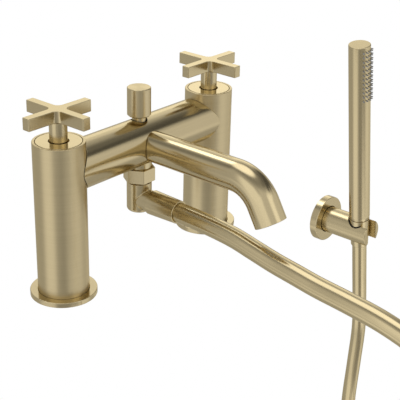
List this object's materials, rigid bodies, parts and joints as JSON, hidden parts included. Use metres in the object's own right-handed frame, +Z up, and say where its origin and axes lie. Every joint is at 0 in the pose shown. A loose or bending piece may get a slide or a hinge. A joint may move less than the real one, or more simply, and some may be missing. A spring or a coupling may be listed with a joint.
{
  "type": "bath shower mixer",
  "caption": "Deck-mounted bath shower mixer with crosshead handles, bridge, fixed spout, lift diverter, hose, forked wall holder and slim handset.",
  "frame": {"origin": "midway between the two inlets, on the deck plane under the base flanges", "axes": "+Z up, -Y along the spout, +X towards the wall holder"},
  "size_m": [0.5216, 0.4265, 0.6489],
  "materials": {
    "brushed_brass": "brushed",
    "turned_brass": "turned, unplated",
    "hose_skin": "smooth satin metallic skin",
    "black_rubber": "matte",
    "grey_rubber": "soft satin",
    "black_nylon": "moulded",
    "white_plastic": "moulded",
    "ceramic": "lapped",
    "steel": "plain"
  },
  "bodies": {
    "mixer": {"left_pillar": "brushed_brass", "left_base_flange": "brushed_brass", "left_base_seal": "black_rubber", "left_inlet_bush": "turned_brass", "left_valve_block": "turned_brass", "left_cartridge_seal": "black_rubber", "left_cartridge_body": "turned_brass", "left_fixed_disc": "ceramic", "left_top_plate": "brushed_brass", "right_pillar": "brushed_brass", "right_base_flange": "brushed_brass", "right_base_seal": "black_rubber", "right_inlet_bush": "turned_brass", "right_valve_block": "turned_brass", "right_cartridge_seal": "black_rubber", "right_cartridge_body": "turned_brass", "right_fixed_disc": "ceramic", "right_top_plate": "brushed_brass", "bridge": "brushed_brass", "spout": "brushed_brass", "spout_feed": "turned_brass", "aerator_housing": "turned_brass", "aerator_insert": "white_plastic", "diverter_sleeve": "turned_brass", "diverter_bush": "turned_brass", "diverter_o_ring": "black_rubber", "diverter_spring": "steel", "outlet_nipple": "brushed_brass", "union_nut": "brushed_brass", "union_washer": "black_rubber", "elbow": "brushed_brass", "hose_connector": "brushed_brass", "lower_hose_tail": "turned_brass", "shower_hose": "hose_skin", "holder_cover": "brushed_brass", "holder_mount": "steel", "holder_arm": "brushed_brass", "holder_grub_screw": "steel", "seat_liner": "black_nylon"},
    "left_handle": {"left_moving_disc": "ceramic", "left_spindle": "turned_brass", "left_handle_collar": "brushed_brass", "left_cross_handle": "brushed_brass", "left_grub_screw": "steel"},
    "right_handle": {"right_moving_disc": "ceramic", "right_spindle": "turned_brass", "right_handle_collar": "brushed_brass", "right_cross_handle": "brushed_brass", "right_grub_screw": "steel"},
    "diverter": {"diverter_stem": "turned_brass", "diverter_washers": "black_rubber", "diverter_spring_ring": "steel", "diverter_knob": "brushed_brass"},
    "hose_end": {"upper_hose_tail": "turned_brass"},
    "handset": {"handset_body": "brushed_brass", "handset_inlet": "turned_brass", "handset_waterway": "white_plastic", "nozzle_strip": "grey_rubber", "cone_nut": "brushed_brass", "handset_washer": "black_rubber"}
  },
  "joints": [
    {"name": "left_handle_turn", "type": "hinge", "parent": "mixer", "child": "left_handle", "pos_m": [-0.09, 0, 0.133], "axis": [0, 0, 1], "range_deg": [0, 90]},
    {"name": "right_handle_turn", "type": "hinge", "parent": "mixer", "child": "right_handle", "pos_m": [0.09, 0, 0.133], "axis": [0, 0, 1], "range_deg": [-90, 0]},
    {"name": "diverter_lift", "type": "slide", "parent": "mixer", "child": "diverter", "axis": [0, 0, 1], "range_m": [0, 0.006], "stiffness_N_per_m": 200, "springref_m": -0.01, "deforming": ["diverter_spring"]},
    {"name": "handset_lift", "type": "slide", "parent": "mixer", "child": "hose_end", "axis": [-0.1564, 0, 0.9877], "range_m": [0, 0.038]},
    {"name": "handset_spin", "type": "hinge", "parent": "hose_end", "child": "handset", "pos_m": [0.37, -0.005, -0.1075], "axis": [-0.1564, 0, 0.9877], "continuous": true}
  ]
}
